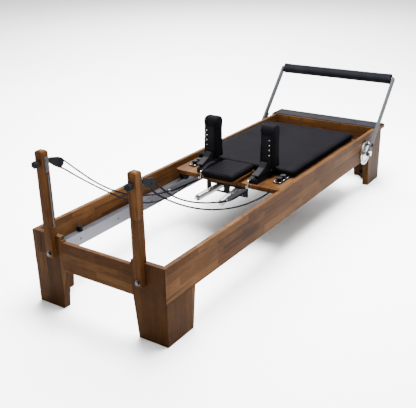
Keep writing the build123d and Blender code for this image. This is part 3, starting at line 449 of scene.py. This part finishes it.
def around_sheave(y, arrive, leave, corners=3):
    """Corners of the rope's path round the upper back of the sheave, between the two free strands."""
    start = math.degrees(math.atan2(sheave_z - arrive.z, arrive.x - sheave_x))
    distance_in = math.hypot(sheave_z - arrive.z, arrive.x - sheave_x)
    distance_out = math.hypot(leave.z - sheave_z, leave.x - sheave_x)
    first = 360.0 - start - math.degrees(math.acos(wrap_r / distance_in))
    leaving = math.degrees(math.atan2(leave.z - sheave_z, leave.x - sheave_x))
    last = leaving + math.degrees(math.acos(wrap_r / distance_out))
    step = (first - last) / corners
    reach = (wrap_r + 0.00015) / math.cos(math.radians(step / 2))
    turns = [math.radians(first - step * (i + 0.5)) for i in range(corners)]
    return [Vector((sheave_x + reach * math.cos(a), y, sheave_z + reach * math.sin(a))) for a in turns]


def in_metres(points):
    return [Vector((run(x), y * MM, z * MM)) for x, y, z in points]


def smooth_line(name, control):
    """Points of the smooth NURBS spline that has these control points."""
    data = bpy.data.curves.new(name, "CURVE")
    data.dimensions = "3D"
    data.resolution_u = 10
    spline = data.splines.new("NURBS")
    spline.points.add(len(control) - 1)
    for target, point in zip(spline.points, control):
        target.co = (*point, 1)
    spline.order_u = 3
    spline.use_endpoint_u = True
    route = bpy.data.objects.new(name, data)
    scene.collection.objects.link(route)
    bpy.context.view_layer.update()
    line = bpy.data.meshes.new_from_object(route.evaluated_get(bpy.context.evaluated_depsgraph_get()))
    points = [v.co.copy() for v in line.vertices]
    bpy.data.objects.remove(route)
    return points


strap_half_w = 0.0125
strap_widening = 0.0035
strap_ends = {"left": (1003, 153, 337), "right": (1006, -153, 330)}


def strap_loop(name, start, end):
    """Folded webbing loop: a flat band that runs out to the hook and back, a little wider away from the
    ring.
    """
    along = end - start
    length = along.length
    along.normalize()
    across = Vector((0, 0, 1)).cross(along).normalized()
    up = along.cross(across)
    steps = 28
    half_gap = 0.0062
    half_t = 0.0012
    centre_line = []
    for i in range(steps):
        turn = 2 * math.pi * i / steps
        reach = 0.5 - 0.5 * math.cos(turn)
        bow = math.sin(turn) * (0.75 + 0.25 * math.cos(turn) ** 2)
        centre_line.append(start + along * (reach * (length - 0.004) + 0.002) + up * bow * half_gap)
    verts, faces, uvs = [], [], []
    travelled = 0.0
    for i, (point, (tangent, _, _)) in enumerate(zip(centre_line, frames_along(centre_line, True))):
        if i:
            travelled += (point - centre_line[i - 1]).length
        out = across.cross(tangent).normalized()
        share = (point - start).dot(along) / length
        half_w = strap_half_w + strap_widening * min(1.0, max(0.0, (share - 0.08) / 0.3))
        for a, b in ((-1, -1), (1, -1), (1, 1), (-1, 1)):
            verts.append(point + across * a * half_w + out * b * half_t)
            uvs.append((travelled, 0.5 + 0.5 * a))
    for i in range(steps):
        here, there = 4 * i, 4 * ((i + 1) % steps)
        for k in range(4):
            following = (k + 1) % 4
            faces.append((here + k, here + following, there + following, there + k))
    strap = mesh_object(name, verts, faces, strap_weave, uvs)
    bevel = strap.modifiers.new("edges", "BEVEL")
    bevel.width = 0.0006
    bevel.segments = 2
    smooth = strap.modifiers.new("smooth", "SUBSURF")
    smooth.levels = smooth.render_levels = 2
    return strap


def make_rope(side_name, lower, upper):
    run_in, run_out = in_metres(lower), in_metres(upper)
    wrap = around_sheave(SIDES[side_name] * post_y, run_in[-1], run_out[0])
    line = smooth_line(f"route_{side_name}", run_in + wrap + run_out)
    rope = tube(f"braided_rope_{side_name}", line, rope_r, rope_braid)
    last_run = (line[-1] - line[-2]).normalized()
    whipping_ends = [line[-1] - last_run * whipping_length, line[-1] - last_run * 0.002]
    whipping = tube(f"rope_end_{side_name}", whipping_ends, rope_r + whipping_t, black_vinyl)
    ring_centre = line[-1] + last_run * 0.006
    ring_line = ring_points(ring_centre, ring_r, (0, 1, 0.25))
    ring = tube(f"strap_ring_{side_name}", ring_line, ring_wire_r, bright_steel, sides=8, closed=True)
    strap_start = line[-1] + last_run * 0.003
    strap_end = in_metres([strap_ends[side_name]])[0]
    strap = strap_loop(f"webbing_strap_{side_name}", strap_start, strap_end)
    for piece in (rope, whipping, ring, strap):
        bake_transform(piece)
    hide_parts(f"rope_{side_name}")
    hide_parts(f"hand_strap_{side_name}")


# ==== springs ====
spring_r = 0.018
wire_r = 0.0016
hook_wire_r = 0.0022
hook_ring_r = 0.008
drive_spring_ys = (-0.120, 0.120)
drive_hook_length = 0.022
drive_pitch = 0.0048
spring_z = 0.290


def coil_points(start, end, radius, pitch, per_turn=14):
    """Points of a helix from start to end."""
    along = end - start
    length = along.length
    along.normalize()
    side = along.cross(Vector((0, 0, 1))).normalized()
    up = side.cross(along)
    count = int(length / pitch * per_turn)
    points = []
    for i in range(count + 1):
        turn = 2 * math.pi * i / per_turn
        out = math.cos(turn) * side + math.sin(turn) * up
        points.append(start + along * (length * i / count) + radius * out)
    return points


def joined(name, parts):
    """One object from several."""
    with bpy.context.temp_override(active_object=parts[0], selected_editable_objects=parts):
        bpy.ops.object.join()
    parts[0].name = name
    return parts[0]


def end_hook(start, end, radius):
    """Straight shank and open ring at a spring's end, in the horizontal plane."""
    along = (end - start).normalized()
    side = along.cross(Vector((0, 0, 1))).normalized()
    centre = end - along * radius
    points = [start, start + (centre - along * radius - start) * 0.6]
    for i in range(22):
        turn = math.pi + 2 * math.pi * 0.94 * i / 21
        points.append(centre + radius * (math.cos(turn) * along + math.sin(turn) * side))
    return points


def make_loose_spring(side_name, anchor, tip):
    anchor, tip = in_metres([anchor])[0], in_metres([tip])[0]
    along = (tip - anchor).normalized()
    coil_start = anchor + along * 0.018
    coil_end = tip - along * 2 * (hook_ring_r + 0.0025)
    coil = tube("coil", coil_points(coil_start, coil_end, spring_r - wire_r, 2 * wire_r + 0.0004),
                wire_r, bright_steel, sides=6)
    hook_line = end_hook(coil_end - along * 0.002, tip - along * 0.0025, hook_ring_r)
    hook = tube("hook", hook_line, hook_wire_r, bright_steel, sides=8)
    lug = tube("lug", [anchor + along * 0.008, anchor + along * 0.019], 0.0045, bright_steel)
    eye = tube("eye", ring_points(anchor, 0.0065, (0, 0, 1)), 0.0024, bright_steel, sides=8, closed=True)
    spring = joined(f"coil_spring_{side_name}", [coil, hook, lug, eye])
    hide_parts(f"loose_spring_{side_name}")
    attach(spring, f"loose_spring_{side_name}")


def make_drive_springs():
    low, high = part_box("drive_springs")
    parts = []
    for y in drive_spring_ys:
        near = Vector((low.x + 0.001, y, spring_z))
        far = Vector((high.x - 0.001, y, spring_z))
        coil_near = near + Vector((drive_hook_length, 0, 0))
        coil_far = far - Vector((drive_hook_length, 0, 0))
        coil_line = coil_points(coil_near, coil_far, spring_r - wire_r, drive_pitch)
        parts.append(tube("coil", coil_line, wire_r, bright_steel, sides=6))
        near_hook = end_hook(coil_near, near, hook_ring_r)
        far_hook = end_hook(coil_far, far, hook_ring_r)
        parts.append(tube("near_hook", near_hook, hook_wire_r, bright_steel, sides=8))
        parts.append(tube("far_hook", far_hook, hook_wire_r, bright_steel, sides=8))
    springs = joined("drive_coils", parts)
    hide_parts("drive_springs")
    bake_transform(springs)


# ==== upholstery ====
cloth_frames = 20


def applied(piece):
    """Replaces a piece's mesh by its evaluated one and drops its modifiers."""
    evaluated = piece.evaluated_get(bpy.context.evaluated_depsgraph_get())
    mesh = bpy.data.meshes.new_from_object(evaluated)
    piece.modifiers.clear()
    piece.data = mesh


def swell(pad, cap, pressure):
    """Blows the pad up as cloth, moving no point further than the cap, and keeps its underside flat."""
    rest = [v.co.copy() for v in pad.data.vertices]
    floor = min(point.z for point in rest)
    cloth = pad.modifiers.new("cloth", "CLOTH")
    cloth.settings.use_pressure = True
    cloth.settings.uniform_pressure_force = pressure
    cloth.settings.effector_weights.gravity = 0.0
    cloth.settings.quality = 4
    cloth.collision_settings.use_collision = False
    for number in range(1, cloth_frames + 1):
        scene.frame_set(number)
    applied(pad)
    for vertex, start in zip(pad.data.vertices, rest):
        move = vertex.co - start
        if move.length > cap:
            move *= cap / move.length
        vertex.co = start + move
        vertex.co.z = max(vertex.co.z, floor)
    scene.frame_set(1)


def upholster(node, body, name, material, voxel, cap, shrink, pressure=4.0):
    """Cloth-covered foam in the place of a plain CAD pad."""
    pad = bpy.data.objects.new(name, nodes[node].data.copy())
    scene.collection.objects.link(pad)
    low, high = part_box(node)
    middle = (low + high) / 2
    for vertex in pad.data.vertices:
        for axis in range(3):
            half = (high[axis] - low[axis]) / 2
            keep = 1 - min(shrink, half * 0.25) / half
            vertex.co[axis] = middle[axis] + (vertex.co[axis] - middle[axis]) * keep
    remesh = pad.modifiers.new("remesh", "REMESH")
    remesh.mode = "VOXEL"
    remesh.voxel_size = voxel
    remesh.use_smooth_shade = True
    soften = pad.modifiers.new("soften", "SMOOTH")
    soften.factor = 0.5
    soften.iterations = 4
    applied(pad)
    swell(pad, cap, pressure)
    smooth = pad.modifiers.new("smooth", "SUBSURF")
    smooth.levels = smooth.render_levels = 1
    applied(pad)
    pad.data.materials.clear()
    pad.data.materials.append(material)
    for polygon in pad.data.polygons:
        polygon.use_smooth = True
        polygon.material_index = 0
    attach(pad, body)
    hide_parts(node)
    return pad


def seam(name, centre, half_x, half_y, corner, body):
    """Sewn welt round a pad, as a thin cord along a rounded rectangle."""
    points = []
    for quarter, (sx, sy) in enumerate(((1, 1), (-1, 1), (-1, -1), (1, -1))):
        for i in range(7):
            turn = math.radians(90 * quarter + 15 * i)
            points.append(Vector((
                centre[0] + sx * (half_x - corner) + corner * math.cos(turn),
                centre[1] + sy * (half_y - corner) + corner * math.sin(turn),
                centre[2],
            )))
    welt = tube(name, points, 0.0017, black_vinyl, sides=8, closed=True)
    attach(welt, body)


def domed_screws(name, places, axis, body, radius=0.0045):
    """Domed screw heads with a round socket, facing along axis, as one piece."""
    axis = Vector(axis)
    side = axis.orthogonal().normalized()
    up = axis.cross(side)
    profile = [(radius, 0.0), (radius * 0.96, radius * 0.32), (radius * 0.75, radius * 0.55),
               (radius * 0.45, radius * 0.62), (radius * 0.43, radius * 0.18)]
    sides = 18
    verts, faces = [], []
    for place in places:
        first = len(verts)
        for reach, height in profile:
            for k in range(sides):
                turn = 2 * math.pi * k / sides
                verts.append(Vector(place) + axis * height
                             + reach * (math.cos(turn) * side + math.sin(turn) * up))
        for ring in range(len(profile) - 1):
            for k in range(sides):
                here, following = first + ring * sides + k, first + ring * sides + (k + 1) % sides
                faces.append((here, following, following + sides, here + sides))
        faces.append(tuple(first + k for k in range(sides))[::-1])
        faces.append(tuple(first + (len(profile) - 1) * sides + k for k in range(sides)))
    screws = mesh_object(name, verts, faces, bright_steel)
    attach(screws, body)


plate_screw_heights = (0.478, 0.506, 0.534, 0.562)
plate_screw_y = 0.200
shoe_screw_y = 0.207
shoe_screw_insets = (0.012, 0.040)
shoe_height = 0.0503
cleat_screw_ys = (0.258, 0.2905)
cleat_screw_insets = (0.008, 0.052, 0.096)
cleat_t = 0.006


def make_screws():
    """Bright screws on the shoulder rests and rope cleats."""
    cleat_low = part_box("rope_cleats")[0]
    base_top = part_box("carriage_base")[1].z
    cleat_screws = []
    for side_name, side in SIDES.items():
        frame_far_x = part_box(f"shoulder_frame_{side_name}")[1].x
        plate_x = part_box(f"shoulder_pad_{side_name}")[0].x + 0.004
        places = [Vector((plate_x, side * plate_screw_y, z)) for z in plate_screw_heights]
        domed_screws(f"rest_screws_{side_name}", places, (-1, 0, 0), f"shoulder_rest_{side_name}", 0.0042)
        shoe_screws = [Vector((frame_far_x - inset, side * shoe_screw_y, base_top + shoe_height))
                       for inset in shoe_screw_insets]
        domed_screws(f"shoe_screws_{side_name}", shoe_screws, (0, 0, 1), f"shoulder_rest_{side_name}", 0.005)
        for inset in cleat_screw_insets:
            for y in cleat_screw_ys:
                cleat_screws.append(Vector((cleat_low.x + inset, side * y, base_top + cleat_t)))
    domed_screws("cleat_screws", cleat_screws, (0, 0, 1), "carriage", 0.0046)


def make_upholstery():
    upholster("carriage_pad", "carriage", "carriage_cushion", black_vinyl, 0.006, 0.004, 0.003)
    upholster("headrest_pad", "headrest", "headrest_cushion", black_vinyl, 0.004, 0.005, 0.003)
    for side_name in SIDES:
        upholster(f"shoulder_pad_{side_name}", f"shoulder_rest_{side_name}", f"shoulder_cushion_{side_name}",
                  black_vinyl, 0.004, 0.004, 0.003)
    upholster("footbar_pad", "footbar", "footbar_grip", grip_foam, 0.004, 0.002, 0.0015)
    upholster("platform_pad", "frame", "platform_mat", mat_rubber, 0.0025, 0.0005, 0.0002,
              pressure=1.0)
    low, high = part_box("carriage_pad")
    middle = (low + high) / 2
    seam("carriage_welt", (middle.x, middle.y, low.z + 0.008), (high.x - low.x) / 2 - 0.002,
         (high.y - low.y) / 2 - 0.002, 0.027, "carriage")


make_camera()
make_stage(floor_finish())
make_light("key", (run(1500), -0.2, 4.2), (run(1200), 0, 0.2), 2.6, 1700)
make_light("back", (run(3300), 2.6, 3.8), (run(1800), 0.6, 0), 3.0, 500)
make_light("far", (run(6500), 3.8, 4.5), (run(6500), 3.8, 0), 5.0, 1500)
make_rope("left", lower_left, upper_left)
make_rope("right", lower_right, upper_right)
make_loose_spring("left", (1330, 50, 290), (838, 58, 290))
make_loose_spring("right", (1330, -32, 290), (842, -92, 290))
make_drive_springs()
make_screws()
make_upholstery()
